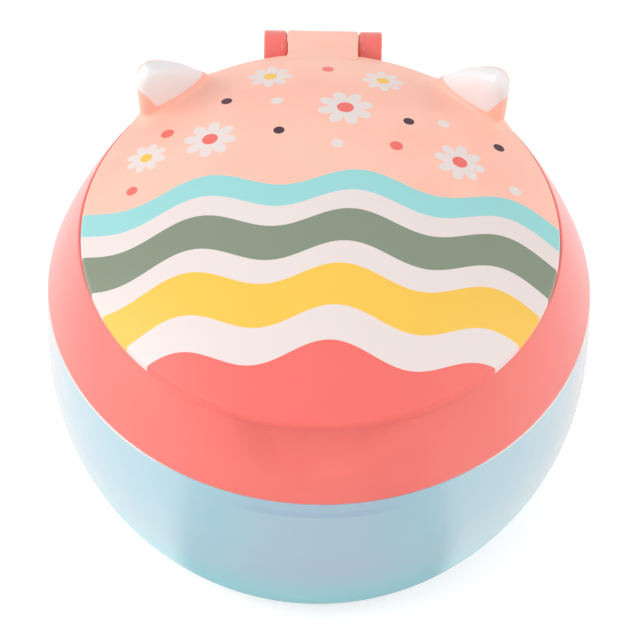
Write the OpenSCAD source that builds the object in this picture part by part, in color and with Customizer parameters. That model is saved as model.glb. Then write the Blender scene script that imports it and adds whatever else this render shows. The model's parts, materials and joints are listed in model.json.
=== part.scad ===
// Toddler snack container: a round bowl, a screw-on collar with a soft ring of
// finger flaps, and a domed flip-top lid with two ear tabs on a rear hinge.
// Millimetres. +Z is up, the front (thumb side) faces -Y, and the origin is the
// centre of the foot that the bowl stands on.

/* [Bowl] */
// Radius of the ball-shaped body at its widest
belly_r = 54.5; // [50:0.5:62]
// Height of the widest place above the foot
belly_z = 42; // [36:0.5:46]
// Height of the bowl's shoulder, where the collar meets it
bowl_h = 56.5; // [52:0.5:62]
// Profile radius of the bowl's side below its widest place
side_curve_r = 59.6; // [56:0.2:66]
// Radius of the rounded edge round the foot
foot_round_r = 8; // [5:0.5:11]
// Wall thickness of the bowl
bowl_wall = 1.9; // [1.5:0.1:2.6]
// Depth of the shallow recess under the foot
foot_recess = 1; // [0.5:0.1:1.6]
// Width of the ring that the bowl stands on
foot_ring_w = 4.5; // [3:0.5:7]
// Width of the sloping corner round the bowl's floor
floor_corner = 1.5; // [0.5:0.1:3]

/* [Screw neck] */
// How far the neck's bore lies inside the shoulder's edge
neck_inset = 9.8; // [8.8:0.1:11]
// Height of the screw neck above the shoulder
neck_h = 8.5; // [7:0.5:10]
// Wall thickness of the screw neck
neck_wall = 2; // [1.6:0.1:2.4]
// Chamfer round the neck's top
neck_chamfer = 0.6; // [0.3:0.1:1]
// Height over which the inside of the shoulder runs up into the neck's bore
shoulder_rise = 2.5; // [1.5:0.1:4]
// Thickness of the soft seal on top of the neck
seal_t = 1.3; // [1:0.1:1.8]
// How far the seal reaches in past the neck's bore
seal_lip = 0.4; // [0:0.1:1]

/* [Collar] */
// How far the shoulder's edge and the collar's foot lie inside the widest place
seam_inset = 0.5; // [0.3:0.1:2]
// How far the collar's rim lies inside its foot
collar_taper = 6.9; // [6:0.1:8]
// Height of the collar from the bowl's shoulder to the front of its rim
collar_h = 16.1; // [15:0.1:18]
// How much lower the rim is at the hinge than at the front
rim_drop = 1.6; // [0:0.1:2]
// How far the collar's side bulges from a straight cone
collar_bulge = 0.4; // [0.2:0.1:1]
// Wall thickness of the collar
collar_wall = 2.1; // [1.7:0.1:2.4]
// Thickness of the rim's upstanding edge at its top
rim_wall = 1.4; // [1.1:0.1:1.8]
// Thickness of the deck inside the rim
deck_t = 2.1; // [1.6:0.1:2.6]
// Width of the deck between the lid's skirt and the raised neck round the mouth
deck_w = 1.8; // [1.2:0.1:3]
// Wall thickness of the raised neck round the mouth
mouth_wall = 1.8; // [1.4:0.1:2.2]
// Height of the raised neck above the deck
mouth_h = 2.4; // [1.6:0.1:3]
// Width of the ledge that the flap ring rests on
ledge_w = 1.9; // [1.2:0.1:2.4]
// Thickness of that ledge
ledge_t = 1.4; // [1:0.1:1.8]

/* [Thumb scoop] */
// Radius of the scoop's hollow
scoop_r = 10.5; // [9:0.5:12]
// Width of the scoop at the rim
scoop_w = 32; // [24:1:36]
// Slope of the scoop's ends, in degrees from the collar's normal
scoop_flare = 50; // [30:5:60]
// Wall left between the scoop and the inside of the rim
scoop_wall = 0.7; // [0.6:0.1:1.2]

/* [Lid] */
// How far the lid's edge lies inside the collar's rim
lid_inset = 0.2; // [0:0.1:0.6]
// How far the lid's centre sits in front of the bowl's axis
lid_forward = 1.5; // [1:0.1:1.8]
// Slope of the dome where it meets the rim, in degrees
dome_slope = 34; // [28:1:38]
// Height of the lid's upright edge at the front
lid_edge_h = 1.1; // [0.8:0.1:2]
// Radius of the rounded edge between the dome and the upright edge
lid_round_r = 1.2; // [0.8:0.1:1.6]
// Wall thickness of the lid
lid_wall = 2; // [1.6:0.1:2.6]
// Width of the flat face under the lid's edge
lid_flat_w = 3.3; // [2.8:0.1:4]
// Wall thickness of the lid's skirt
skirt_wall = 1.7; // [1.2:0.1:1.8]
// How far the snap bead stands out from the front of the skirt
snap_bead = 0.5; // [0.2:0.1:0.6]
// Height of the snap bead
snap_h = 1.8; // [1:0.1:2.4]
// Height of the bead's middle above the skirt's lower edge
snap_lift = 1.6; // [1.2:0.1:2]
// Angle that the snap bead spans, in degrees
snap_angle = 24; // [16:2:40]

/* [Ears] */
// Height of an ear's tip above the lid's edge
ear_h = 18.9; // [14:0.1:22]
// Width of an ear along the lid's edge
ear_w = 20.8; // [16:0.2:23]
// Thickness of an ear at its foot
ear_t = 5.2; // [4:0.1:6]
// Thickness of an ear at its tip
ear_tip_t = 4.4; // [3:0.1:5]
// Width of an ear's crest between its two round ends
ear_crest_w = 6; // [3:0.2:8]
// How much lower the inner end of the crest lies
ear_crest_drop = 3.8; // [2:0.1:6]
// How far an ear's foot spreads towards the middle of the lid
ear_spread = 3; // [1:0.5:5]
// How much shorter the spread foot is at its outer end
ear_taper_out = 2; // [0:0.5:4]
// How much shorter the spread foot is at its inner end
ear_taper_in = 4; // [0:0.5:6]
// How far an ear's tip leans in from its outer side
ear_lean = 0.4; // [0:0.1:2]
// How far an ear's outer face lies inside the lid's edge
ear_inset = 0.8; // [0.4:0.1:1.6]
// Height of the ear's foot spheres above the lid's edge
ear_root = 0.6; // [0:0.1:1.5]
// Direction of an ear from the front of the lid, in degrees
ear_angle = 138; // [125:1:145]

/* [Hinge] */
// Radius of the hinge barrel
barrel_r = 3.6; // [3.2:0.1:4.2]
// Width of the lid's knuckle
knuckle_w = 14.3; // [10:0.1:18]
// Width of each of the collar's lugs
lug_w = 4.5; // [3.5:0.1:6]
// Radius of the hinge pin
pin_r = 1.25; // [1:0.05:1.6]
// How far the pin reaches into each lug
pin_seat = 3.2; // [2:0.1:3.4]
// How far the hinge axis stands out from the collar's rim
hinge_out = 3.6; // [3.4:0.1:4.6]
// How far the hinge axis lies below the front of the rim
hinge_drop = 2.5; // [2:0.1:3]
// Height of the lugs' gussets below the hinge axis
gusset_h = 7.5; // [6:0.5:9]
// How far the gussets' roots are set into the rim's wall
gusset_root = 0.6; // [0.4:0.1:0.9]
// How far the strap of the knuckle reaches in from the lid's edge
strap_root = 3; // [2:0.5:4]
// Height of the strap's root above the lid's edge
strap_h = 1.7; // [1:0.1:2.2]

/* [Flaps] */
// Number of flaps
flap_count = 8; // [6:1:10]
// Width of the web between the flap ring and the flaps' bending lines
flap_web = 3.63; // [3.2:0.01:5]
// Thickness of the flaps
flap_t = 1.2; // [0.9:0.1:1.6]
// How far the flaps lie below the top of their ring
flap_sink = 0.2; // [0:0.1:0.6]
// Width of the slits between the flaps
slit_w = 0.8; // [0.6:0.1:1.2]
// Radius of the round hole where a slit ends
slit_end_r = 1.6; // [1.4:0.1:2]
// Radius of the hole where the flaps' tips meet
tip_hole_r = 2.6; // [2:0.1:4]
// Height of the flap ring above its ledge
flap_ring_h = 2.4; // [2:0.1:2.8]
// Wall of the flap ring inside its ledge
flap_ring_wall = 1.45; // [1.2:0.05:1.8]
// Height of the bead that holds the flap ring under the ledge
bead_h = 0.45; // [0.3:0.05:0.6]
// How far that bead reaches under the ledge
bead_grip = 0.5; // [0.3:0.1:0.8]

/* [Clearances] */
// Gap between the collar and the bowl's shoulder
seam_gap = 0.3; // [0.2:0.05:0.5]
// Gap between the lid's edge and the collar's rim
lid_gap = 0.25; // [0.2:0.05:0.4]
// Radial clearance between the lid's skirt and the collar's rim
skirt_gap = 0.9; // [0.5:0.1:1.2]
// Gap between the skirt's lower edge and the deck
skirt_lift = 0.6; // [0.3:0.1:1]
// Radial clearance of the screw neck in the collar
thread_gap = 0.3; // [0.25:0.05:0.5]
// Clearance round the seated soft rings
seat_gap = 0.12; // [0.05:0.01:0.2]
// Gap between hinge parts side by side
hinge_gap = 0.35; // [0.25:0.05:0.5]
// Radial clearance of the knuckle in its notch in the rim, and of its strap over the rim
knuckle_gap = 0.5; // [0.4:0.05:0.7]
// Radial clearance of the pin in the lid's knuckle
pin_gap = 0.06; // [0.03:0.01:0.1]
// Gap between a flap's root and the web that it bends from
flap_gap = 0.3; // [0.3:0.05:0.4]

/* [Hidden] */
$fn = 96;
ARC_STEPS = 10;
DOME_STEPS = 24;
ROUND_STEPS = 4;
EPS = 0.01;
OVER = 1;
FAR = 200;

// Radii, from the bowl's belly inwards: each fits inside the one before
collar_r = belly_r - seam_inset;
neck_r = collar_r - neck_inset;
neck_out_r = neck_r + neck_wall;
skirt_bore_r = neck_out_r + thread_gap;
rim_r = collar_r - collar_taper;
rim_in_r = rim_r - rim_wall;
lid_r = rim_r - lid_inset;
lid_in_r = lid_r - lid_flat_w;
skirt_out_r = rim_in_r - skirt_gap;
skirt_in_r = skirt_out_r - skirt_wall;
mouth_out_r = skirt_in_r - deck_w;
mouth_r = mouth_out_r - mouth_wall;
ledge_r = mouth_r - ledge_w;
flap_ring_out_r = mouth_r - seat_gap;
flap_throat_r = ledge_r - seat_gap;
flap_ring_in_r = flap_throat_r - flap_ring_wall;
flap_reach = flap_ring_in_r - flap_web;

// Heights of the stack, from the shoulder up
neck_top = bowl_h + neck_h;
deck_z = neck_top + seal_t + seat_gap;
deck_top = deck_z + deck_t;
mouth_top = deck_top + mouth_h;
ledge_top = deck_z + ledge_t;
collar_z = bowl_h + seam_gap;
rim_z = bowl_h + collar_h;
rim_back_z = rim_z - rim_drop;
skirt_z = deck_top + skirt_lift;
flap_ring_z = ledge_top + seat_gap;
flap_ring_top = flap_ring_z + flap_ring_h;
flap_z = flap_ring_top - flap_sink - flap_t;
bead_top = deck_z - seat_gap;

// Collar side: one arc from the seam to the rim
side_dr = collar_r - rim_r;
side_dz = rim_z - collar_z;
side_chord = sqrt(side_dr * side_dr + side_dz * side_dz);
collar_curve_r = (side_chord * side_chord / 4 + collar_bulge * collar_bulge) / (2 * collar_bulge);
side_lean = atan2(side_dr, side_dz);
side_half = asin(side_chord / 2 / collar_curve_r);
collar_curve_c = [
    collar_r - collar_curve_r * cos(side_lean - side_half),
    collar_z - collar_curve_r * sin(side_lean - side_half)
];

// Rim and lid edge lie on planes that fall by rim_drop towards the hinge
rim_tilt = atan2(rim_drop, 2 * rim_r);

// Dome of the lid, which its rounded edge meets at dome_slope
lid_edge_z = rim_z + lid_gap;
dome_foot_z = lid_edge_z + lid_edge_h;
round_c = [lid_r - lid_round_r, dome_foot_z];
dome_R = round_c[0] / sin(dome_slope) + lid_round_r;
dome_cz = dome_foot_z - (dome_R - lid_round_r) * cos(dome_slope);
dome_top = dome_cz + dome_R;

// Hinge
pivot_y = rim_r + hinge_out;
pivot_z = rim_z - hinge_drop;
lug_x = knuckle_w / 2 + hinge_gap;
pin_l = knuckle_w + 2 * hinge_gap + 2 * pin_seat;

// Flaps
flap_step = 360 / flap_count;
web_reach = flap_reach + flap_t / 2 + flap_gap;
ring_chamfer = 0.5;
ring_slope = 0.8;

FLAPS = [for (n = [1:flap_count]) str("flap_", n)];

AQUA = [0.72, 0.90, 0.94];
CORAL = [0.97, 0.46, 0.44];
PEACH = [1.00, 0.78, 0.70];
SOFT_WHITE = [0.93, 0.90, 0.88];
SOFT_CORAL = [0.98, 0.58, 0.54];
STEEL = [0.75, 0.76, 0.78];

// Points of an arc about c, from angle a0 to a1
function arc(c, r, a0, a1, steps = ARC_STEPS) = [
    for (i = [0:steps])
        let (a = a0 + (a1 - a0) * i / steps)
            [c[0] + r * cos(a), c[1] + r * sin(a)]
];

// Side of the ball-shaped bowl, set in by inset, from the foot's edge up to the shoulder
function bowl_side(inset) =
    let (
        low_c = [belly_r - side_curve_r, belly_z],
        foot_c_z = foot_round_r,
        foot_c_x = low_c[0] + sqrt(pow(side_curve_r - foot_round_r, 2) - pow(belly_z - foot_c_z, 2)),
        meet = atan2(foot_c_z - belly_z, foot_c_x - low_c[0]),
        top_dr = belly_r - collar_r,
        top_dz = bowl_h - belly_z,
        high_r = (top_dr * top_dr + top_dz * top_dz) / (2 * top_dr),
        top_a = asin((top_dz - inset) / high_r)
    )
    concat(
        arc([foot_c_x, foot_c_z], foot_round_r - inset, -90, meet, ROUND_STEPS + 2),
        arc(low_c, side_curve_r - inset, meet * 0.92, 0, ARC_STEPS + 4),
        arc([belly_r - high_r, belly_z], high_r - inset, top_a / 4, top_a, 3)
    );

// Radius of the foot's flat ring at its outer edge
function foot_edge_r() = bowl_side(0)[0][0];

module bowl() {
    color(AQUA) {
        difference() {
            rotate_extrude() {
                polygon(concat(
                    [[0, 0]],
                    bowl_side(0),
                    [
                        [neck_out_r, bowl_h],
                        [neck_out_r, neck_top - neck_chamfer],
                        [neck_out_r - neck_chamfer, neck_top],
                        [0, neck_top]
                    ]
                ));
            }
            bowl_inside();
            translate([0, 0, -OVER]) {
                cylinder(r = foot_edge_r() - foot_ring_w, h = foot_recess + OVER);
            }
        }
    }
}

// The space inside the bowl: the side set in by the wall, and the neck's bore
module bowl_inside() {
    floor_z = foot_recess + bowl_wall;
    inner = [for (p = bowl_side(bowl_wall)) if (p[1] > floor_z + EPS) p];
    rotate_extrude() {
        polygon(concat(
            [[0, floor_z], [inner[0][0] - floor_corner, floor_z]],
            inner,
            [
                [neck_r, bowl_h - bowl_wall + shoulder_rise],
                [neck_r, neck_top + OVER],
                [0, neck_top + OVER]
            ]
        ));
    }
}

// Flat soft ring between the neck's top and the collar's deck
module bowl_seal() {
    color(SOFT_WHITE) {
        translate([0, 0, neck_top]) {
            difference() {
                cylinder(r = skirt_bore_r - seat_gap, h = seal_t);
                translate([0, 0, -OVER]) {
                    cylinder(r = neck_r - seal_lip, h = seal_t + 2 * OVER);
                }
            }
        }
    }
}

// Everything above the plane of the rim, raised by lift
module above_rim(lift) {
    translate([0, -rim_r, rim_z + lift]) {
        rotate([-rim_tilt, 0, 0]) {
            translate([-FAR / 2, -FAR / 4, 0]) {
                cube([FAR, FAR, FAR / 4]);
            }
        }
    }
}

// Collar's outer side as points from the seam to the rim, set in by inset
function collar_side(inset) =
    arc(collar_curve_c, collar_curve_r - inset, side_lean - side_half, side_lean + side_half);

module collar_ring() {
    core_in_r = skirt_bore_r + collar_wall;
    core_top = deck_z - collar_wall;
    core = [for (p = collar_side(collar_wall)) if (p[0] > core_in_r + collar_wall && p[1] < core_top) p];
    difference() {
        rotate_extrude() {
            polygon(concat(
                [[skirt_bore_r, collar_z]],
                collar_side(0),
                [
                    [rim_in_r, rim_z],
                    [rim_in_r, deck_top],
                    [mouth_out_r, deck_top],
                    [mouth_out_r, mouth_top - ring_chamfer],
                    [mouth_out_r - ring_chamfer, mouth_top],
                    [mouth_r, mouth_top],
                    [mouth_r, ledge_top],
                    [ledge_r, ledge_top],
                    [ledge_r, deck_z],
                    [skirt_bore_r, deck_z]
                ]
            ));
        }
        // Coring between the outer wall and the screw skirt
        rotate_extrude() {
            polygon(concat(
                [[core_in_r, collar_z - OVER], [core[0][0], collar_z - OVER]],
                core,
                [[core_in_r, core[len(core) - 1][1]]]
            ));
        }
        above_rim(0);
    }
}

// Hollow for a thumb under the lid's front lip: a ring-shaped groove round the
// collar, kept inside a cone that opens outwards square to the collar's side
module thumb_scoop() {
    groove_r = rim_in_r + scoop_wall + scoop_r;
    groove_angle = 50;
    spread = tan(scoop_flare);
    intersection() {
        translate([0, 0, rim_z]) {
            rotate([0, 0, -90 - groove_angle / 2]) {
                rotate_extrude(angle = groove_angle) {
                    translate([groove_r, 0]) {
                        circle(r = scoop_r);
                    }
                }
            }
        }
        translate([0, -rim_r, rim_z]) {
            rotate([90 - side_lean, 0, 0]) {
                translate([0, 0, -scoop_r / 2]) {
                    cylinder(
                        r1 = scoop_w / 2 - spread * scoop_r / 2,
                        r2 = scoop_w / 2 + spread * scoop_r,
                        h = 1.5 * scoop_r
                    );
                }
            }
        }
    }
}

// A cylinder along X, centred on the hinge axis
module hinge_rod(r, w) {
    translate([-w / 2, pivot_y, pivot_z]) {
        rotate([0, 90, 0]) {
            cylinder(r = r, h = w);
        }
    }
}

// One lug of the collar: barrel and the gusset that carries it
module hinge_lug() {
    root_y = rim_r - gusset_root;
    translate([lug_x, 0, 0]) {
        rotate([90, 0, 90]) {
            linear_extrude(height = lug_w) {
                translate([pivot_y, pivot_z]) {
                    circle(r = barrel_r);
                }
                polygon([
                    [root_y, pivot_z],
                    [root_y, pivot_z - gusset_h],
                    [pivot_y + barrel_r * cos(-45), pivot_z + barrel_r * sin(-45)],
                    [pivot_y, pivot_z + barrel_r],
                    [rim_r, rim_back_z]
                ]);
            }
        }
    }
}

module collar() {
    color(CORAL) {
        difference() {
            union() {
                collar_ring();
                for (side = [0, 1]) {
                    mirror([side, 0, 0]) {
                        hinge_lug();
                    }
                }
            }
            thumb_scoop();
            hinge_rod(barrel_r + knuckle_gap, 2 * lug_x);
            hinge_rod(pin_r, pin_l);
            // The lug gussets stay out of the screw skirt's bore
            translate([0, 0, collar_z - OVER]) {
                cylinder(r = skirt_bore_r, h = deck_z - collar_z + OVER);
            }
        }
    }
}

// Soft ring with the web that the flaps bend from
module flap_ring() {
    color(SOFT_CORAL) {
        difference() {
            rotate_extrude() {
                polygon([
                    [flap_reach, flap_z],
                    [flap_ring_in_r, flap_z],
                    [flap_ring_in_r, bead_top - bead_h],
                    [ledge_r + bead_grip, bead_top - bead_h],
                    [ledge_r + bead_grip, bead_top],
                    [flap_throat_r, bead_top],
                    [flap_throat_r, flap_ring_z],
                    [flap_ring_out_r, flap_ring_z],
                    [flap_ring_out_r, flap_ring_top - ring_chamfer],
                    [flap_ring_out_r - ring_chamfer, flap_ring_top],
                    [flap_ring_in_r + ring_slope, flap_ring_top],
                    [flap_ring_in_r, flap_z + flap_t],
                    [flap_reach, flap_z + flap_t]
                ]);
            }
            // Bending lines of the flaps
            translate([0, 0, flap_z - OVER]) {
                linear_extrude(height = flap_t + 2 * OVER) {
                    polygon([
                        for (i = [0:flap_count - 1])
                            let (a = i * flap_step)
                                web_reach / cos(flap_step / 2) * [cos(a), sin(a)]
                    ]);
                }
            }
            slit_ends();
        }
    }
}

// Round holes where the slits end, one between each pair of flaps
module slit_ends() {
    for (i = [0:flap_count - 1]) {
        rotate([0, 0, i * flap_step]) {
            translate([flap_reach / cos(flap_step / 2), 0, flap_z - OVER]) {
                cylinder(r = slit_end_r, h = flap_t + 2 * OVER);
            }
        }
    }
}

// Flap number n, counted round from +X
module flap(n) {
    half = flap_step / 2;
    // Half width of a flap at distance x from the centre
    function half_w(x) = x * tan(half) - slit_w / 2 / cos(half);
    tip_x = slit_w / 2 / sin(half) + EPS;
    color(SOFT_CORAL) {
        difference() {
            rotate([0, 0, (n - 0.5) * flap_step]) {
                translate([0, 0, flap_z]) {
                    linear_extrude(height = flap_t) {
                        polygon([
                            [tip_x, -half_w(tip_x)],
                            [flap_reach, -half_w(flap_reach)],
                            [flap_reach, half_w(flap_reach)],
                            [tip_x, half_w(tip_x)]
                        ]);
                    }
                    translate([flap_reach, half_w(flap_reach), flap_t / 2]) {
                        rotate([90, 0, 0]) {
                            cylinder(r = flap_t / 2, h = 2 * half_w(flap_reach));
                        }
                    }
                }
            }
            slit_ends();
            translate([0, 0, flap_z - OVER]) {
                cylinder(r = tip_hole_r, h = flap_t + 2 * OVER);
            }
        }
    }
}

// Outer form of the lid as a solid of revolution that runs down to low_z
module lid_form(low_z) {
    translate([0, -lid_forward, 0]) {
        rotate_extrude() {
            polygon(concat(
                [[0, low_z], [lid_r, low_z]],
                arc(round_c, lid_round_r, 0, 90 - dome_slope, ROUND_STEPS),
                arc([0, dome_cz], dome_R, 90 - dome_slope + 1, 90, DOME_STEPS)
            ));
        }
    }
}

// Hollow under the dome
module lid_hollow() {
    in_R = dome_R - lid_wall;
    start = acos(lid_in_r / in_R);
    translate([0, -lid_forward, 0]) {
        rotate_extrude() {
            polygon(concat(
                [[0, deck_top], [lid_in_r, deck_top]],
                arc([0, dome_cz], in_R, start, 90, DOME_STEPS)
            ));
        }
    }
}

// Skirt that drops inside the collar's rim, with the snap bead at its front
module lid_skirt() {
    root = skirt_wall / 3;
    crest_h = snap_h / 4;
    intersection() {
        translate([0, 0, skirt_z]) {
            difference() {
                cylinder(r = skirt_out_r, h = dome_top - skirt_z);
                translate([0, 0, -OVER]) {
                    cylinder(r = skirt_in_r, h = dome_top - skirt_z + 2 * OVER);
                }
            }
        }
        lid_form(skirt_z - OVER);
    }
    translate([0, 0, skirt_z + snap_lift]) {
        rotate([0, 0, -90 - snap_angle / 2]) {
            rotate_extrude(angle = snap_angle) {
                polygon([
                    [skirt_out_r - root, -snap_h / 2],
                    [skirt_out_r, -snap_h / 2],
                    [skirt_out_r + snap_bead, -crest_h / 2],
                    [skirt_out_r + snap_bead, crest_h / 2],
                    [skirt_out_r, snap_h / 2],
                    [skirt_out_r - root, snap_h / 2]
                ]);
            }
        }
    }
}

// One ear tab: a rounded wedge that stands along the lid's edge, thick at its foot
// and thin at its tip, with its outer side upright and its shoulder sloping inwards
module ear() {
    foot_r = ear_t / 2;
    tip_r = ear_tip_t / 2;
    foot_z = lid_edge_z + ear_root;
    tip_z = lid_edge_z + ear_h - tip_r;
    out_end = -ear_w / 2;
    in_end = ear_w / 2;
    tip_end = out_end + ear_lean + tip_r;
    plane_r = lid_r - lid_forward * cos(180 - ear_angle) - ear_inset - foot_r;
    // Centres along the lid's edge, inwards from the ear's plane, and up, with their radii
    corners = [
        [out_end + foot_r, 0, foot_z, foot_r],
        [in_end - foot_r, 0, foot_z, foot_r],
        [out_end + foot_r + ear_taper_out, ear_spread, foot_z, foot_r],
        [in_end - foot_r - ear_taper_in, ear_spread, foot_z, foot_r],
        [tip_end, 0, tip_z, tip_r],
        [tip_end + ear_crest_w, 0, tip_z - ear_crest_drop, tip_r]
    ];
    rotate([0, 0, -90 + ear_angle]) {
        hull() {
            for (c = corners) {
                translate([plane_r - c[1], c[0], c[2]]) {
                    sphere(r = c[3], $fn = 32);
                }
            }
        }
    }
}

// The lid's knuckle and the strap that joins it to the dome
module lid_knuckle() {
    strap_y = lid_r - lid_forward - strap_root;
    strap_low = rim_back_z + lid_gap + knuckle_gap;
    translate([-knuckle_w / 2, 0, 0]) {
        rotate([90, 0, 90]) {
            linear_extrude(height = knuckle_w) {
                translate([pivot_y, pivot_z]) {
                    circle(r = barrel_r);
                }
                polygon([
                    [strap_y, strap_low],
                    [pivot_y - barrel_r, strap_low],
                    [pivot_y, pivot_z],
                    [pivot_y, pivot_z + barrel_r],
                    [strap_y, lid_edge_z + strap_h]
                ]);
            }
        }
    }
}

// Everything below the lid's edge, down to under the lid's form
module rim_underside() {
    difference() {
        translate([0, 0, deck_top]) {
            cylinder(r = lid_r + lid_forward + OVER, h = lid_edge_z - deck_top + OVER);
        }
        above_rim(lid_gap);
    }
}

module lid() {
    color(PEACH) {
        difference() {
            union() {
                difference() {
                    union() {
                        difference() {
                            lid_form(deck_top + OVER);
                            rim_underside();
                        }
                        for (side = [0, 1]) {
                            mirror([side, 0, 0]) {
                                ear();
                            }
                        }
                    }
                    lid_hollow();
                }
                lid_skirt();
                lid_knuckle();
            }
            hinge_rod(pin_r + pin_gap, knuckle_w + 2 * OVER);
        }
    }
}

module hinge_pin() {
    color(STEEL) {
        hinge_rod(pin_r, pin_l);
    }
}

bowl();
bowl_seal();
collar();
flap_ring();
for (n = [1:flap_count]) flap(n);
lid();
hinge_pin();
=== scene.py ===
"""Looks of a toddler snack container: a see-through bowl, a screw-on collar with soft
finger flaps in its mouth, and a printed flip-top lid with two ear tabs on a rear hinge.

Every piece is shaped in millimetres and written in metres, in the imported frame: +Z up,
front at -Y, origin under the middle of the foot.
"""

import json
import logging
import math
from dataclasses import dataclass
from enum import Enum
from functools import reduce
from typing import Callable, Sequence

import bmesh
import bpy
from mathutils import Matrix, Vector


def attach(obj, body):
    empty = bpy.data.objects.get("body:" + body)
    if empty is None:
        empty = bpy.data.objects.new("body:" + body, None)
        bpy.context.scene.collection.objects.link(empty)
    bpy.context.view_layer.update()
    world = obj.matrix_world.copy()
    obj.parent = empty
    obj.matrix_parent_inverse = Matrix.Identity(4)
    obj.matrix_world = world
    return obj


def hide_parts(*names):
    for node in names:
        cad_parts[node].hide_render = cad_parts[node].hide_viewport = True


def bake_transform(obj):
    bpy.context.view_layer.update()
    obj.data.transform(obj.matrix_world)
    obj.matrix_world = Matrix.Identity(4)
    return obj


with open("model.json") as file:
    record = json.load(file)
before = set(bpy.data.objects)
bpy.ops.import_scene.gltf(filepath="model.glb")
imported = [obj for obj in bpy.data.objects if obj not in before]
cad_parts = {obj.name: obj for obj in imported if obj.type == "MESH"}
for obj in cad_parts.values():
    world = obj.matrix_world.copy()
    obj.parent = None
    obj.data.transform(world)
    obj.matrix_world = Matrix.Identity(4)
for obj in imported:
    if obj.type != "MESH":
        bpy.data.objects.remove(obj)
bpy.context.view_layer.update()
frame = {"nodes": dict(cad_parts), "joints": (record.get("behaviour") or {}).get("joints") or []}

MM = 0.001
MERGE = 0.002
Point = tuple[float, float]
Colour = tuple[float, float, float, float]
BMesh = bmesh.types.BMesh
Loop = list[bmesh.types.BMEdge]
Socket = bpy.types.NodeSocket
log = logging.getLogger("snack_container")


class Body(Enum):
    """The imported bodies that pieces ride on."""

    BOWL = "bowl"
    SEAL = "seal"
    COLLAR = "collar"
    LID = "lid"


class Slot(Enum):
    """The record's material slots."""

    BOWL = "bowl_plastic"
    SEAL = "seal_silicone"
    COLLAR = "collar_plastic"
    FLAPS = "flap_rubber"
    LID = "lid_plastic"
    PIN = "pin_steel"


# ---------------------------------------------------------------- outlines


@dataclass(frozen=True)
class Corner:
    """A corner of an outline, rounded by a fillet of its own radius."""

    across: float
    up: float
    fillet: float = 0.0


def arc(centre: Point, radius: float, start: float, end: float, steps: int) -> list[Point]:
    """Points along an arc.

    Args:
        centre: Middle of the arc.
        radius: Its radius.
        start: Angle of its first point, in degrees.
        end: Angle of its last point, in degrees.
        steps: Number of stretches between its points.

    Returns:
        The points, in order.
    """
    angles = [math.radians(start + (end - start) * i / steps) for i in range(steps + 1)]
    return [(centre[0] + radius * math.cos(a), centre[1] + radius * math.sin(a)) for a in angles]


def rounded(outline: Sequence[tuple[float, ...]], steps: int = 4) -> list[Point]:
    """A closed outline with its corners rounded.

    Args:
        outline: The corners in order, as places with the radius of any fillet behind them.
        steps: Number of stretches in each fillet.

    Returns:
        The outline's points.
    """
    corners = [Corner(*place) for place in outline]
    points: list[Point] = []
    for i, corner in enumerate(corners):
        here = Vector((corner.across, corner.up))
        before, after = corners[i - 1], corners[(i + 1) % len(corners)]
        back = Vector((before.across, before.up)) - here
        ahead = Vector((after.across, after.up)) - here
        if corner.fillet == 0 or back.length == 0 or ahead.length == 0:
            points.append(tuple(here))
            continue
        half = back.angle(ahead) / 2
        reach = min(corner.fillet / math.tan(half), 0.49 * back.length, 0.49 * ahead.length)
        radius = reach * math.tan(half)
        middle = (back.normalized() + ahead.normalized()).normalized()
        centre = here + middle * (radius / math.sin(half))
        first = here + back.normalized() * reach - centre
        turn = first.angle_signed(here + ahead.normalized() * reach - centre)
        for k in range(steps + 1):
            spoke = first.copy()
            spoke.rotate(Matrix.Rotation(-turn * k / steps, 2))
            points.append(tuple(centre + spoke))
    return points


def ease(value: float, low: float, high: float) -> float:
    """A smooth step from 0 at low to 1 at high."""
    share = min(1.0, max(0.0, (value - low) / (high - low)))
    return share * share * (3 - 2 * share)


def through(keys: Sequence[float], share: float) -> float:
    """A smooth curve through evenly spaced values.

    Args:
        keys: The values that the curve passes through.
        share: Place along the curve, from 0 to 1.

    Returns:
        The curve's value there.
    """
    place = share * (len(keys) - 1)
    i = min(int(place), len(keys) - 2)
    t = place - i
    a, b, c, d = (keys[max(0, min(len(keys) - 1, i + k))] for k in (-1, 0, 1, 2))
    return 0.5 * (2 * b + (c - a) * t + (2 * a - 5 * b + 4 * c - d) * t**2
                  + (3 * b - a - 3 * c + d) * t**3)


# ---------------------------------------------------------------- meshes


def loop_of(bm: BMesh, places: Sequence[Vector]) -> Loop:
    """Adds a closed loop of edges through the places, and returns them in order."""
    verts = [bm.verts.new(p) for p in places]
    return [bm.edges.new((a, b)) for a, b in zip(verts, verts[1:] + verts[:1])]


def lathe(bm: BMesh, outline: Sequence[Point], segments: int,
          forward: float = 0.0) -> None:
    """Spins a closed outline of (radius, height) points into a ring or a bowl.

    Args:
        bm: Mesh to add to.
        outline: The outline, on one side of the axis.
        segments: Number of steps round the axis.
        forward: How far in front of the origin the upright axis stands.
    """
    edges = loop_of(bm, [Vector((r, -forward, z)) for r, z in outline])
    verts = list({v for e in edges for v in e.verts})
    bmesh.ops.spin(bm, geom=verts + edges, cent=(0, -forward, 0), axis=(0, 0, 1),
                   angle=math.tau, steps=segments, use_merge=True)
    bmesh.ops.remove_doubles(bm, verts=bm.verts, dist=MERGE)


def slab(bm: BMesh, outline: Sequence[Vector], along: Vector) -> None:
    """Extrudes a flat outline into a closed slab.

    Args:
        bm: Mesh to add to.
        outline: Corners of the first face.
        along: Way from the first face to the last.
    """
    face = bm.faces.new([bm.verts.new(p) for p in outline])
    grown = bmesh.ops.extrude_face_region(bm, geom=[face], use_keep_orig=True)["geom"]
    far = [g for g in grown if isinstance(g, bmesh.types.BMVert)]
    bmesh.ops.translate(bm, vec=along, verts=far)


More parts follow.
